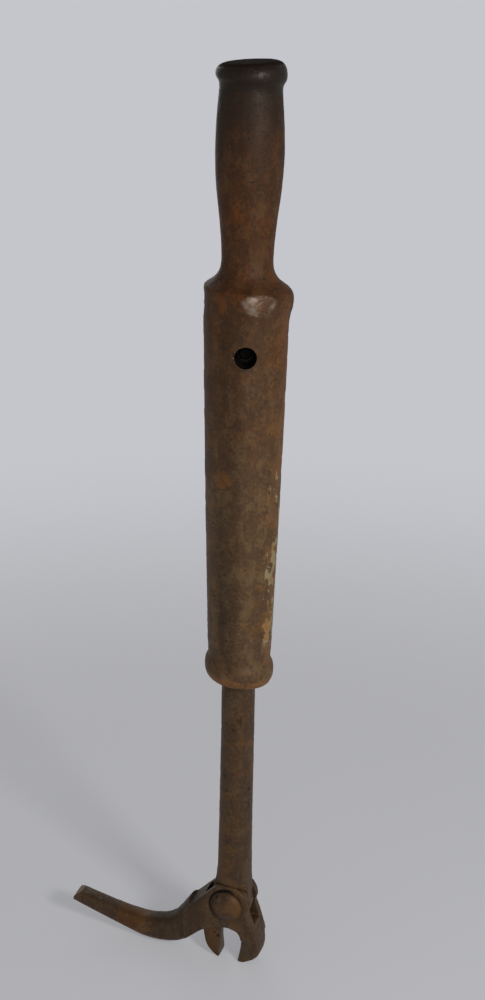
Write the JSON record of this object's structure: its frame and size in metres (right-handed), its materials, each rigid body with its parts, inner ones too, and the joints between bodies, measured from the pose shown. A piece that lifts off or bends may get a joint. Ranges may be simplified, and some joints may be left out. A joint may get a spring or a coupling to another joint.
{
  "type": "sliding-handle nail puller",
  "caption": "Old iron nail puller: a heavy cast handle slides on a round pull rod that ends in a fixed claw, with a riveted heel lever that carries the moving jaw.",
  "frame": {"origin": "centre of the flat face on top of the pommel", "axes": "+Z along the pull rod, out of the pommel; -X the side the heel points to; -Y the side of the rivet's made head"},
  "size_m": [0.1173, 0.0456, 0.4804],
  "materials": {
    "cast_handle": "rust-brown patina on a cast skin, worn at the shoulder, nearly black on the pommel",
    "forged_rod": "brown patina with grey rubbed streaks along the rod",
    "forged_lever": "rusty forging, orange in the hollows and tan on the worn heel",
    "rivet": "rusty, low domed hammered head",
    "pin": "dark dry iron"
  },
  "bodies": {
    "rod": {"pull_rod": "forged_rod", "stop_pin": "pin", "pivot_rivet": "rivet"},
    "handle": {"ram_handle": "cast_handle"},
    "lever": {"heel_lever": "forged_lever"}
  },
  "joints": [
    {"name": "handle_slide", "type": "slide", "parent": "rod", "child": "handle", "axis": [0, 0, 1], "range_m": [0, 0.153]},
    {"name": "lever_pivot", "type": "hinge", "parent": "rod", "child": "lever", "pos_m": [-0.0012, 0, -0.4434], "axis": [0, 1, 0], "range_deg": [-6, 15]}
  ]
}
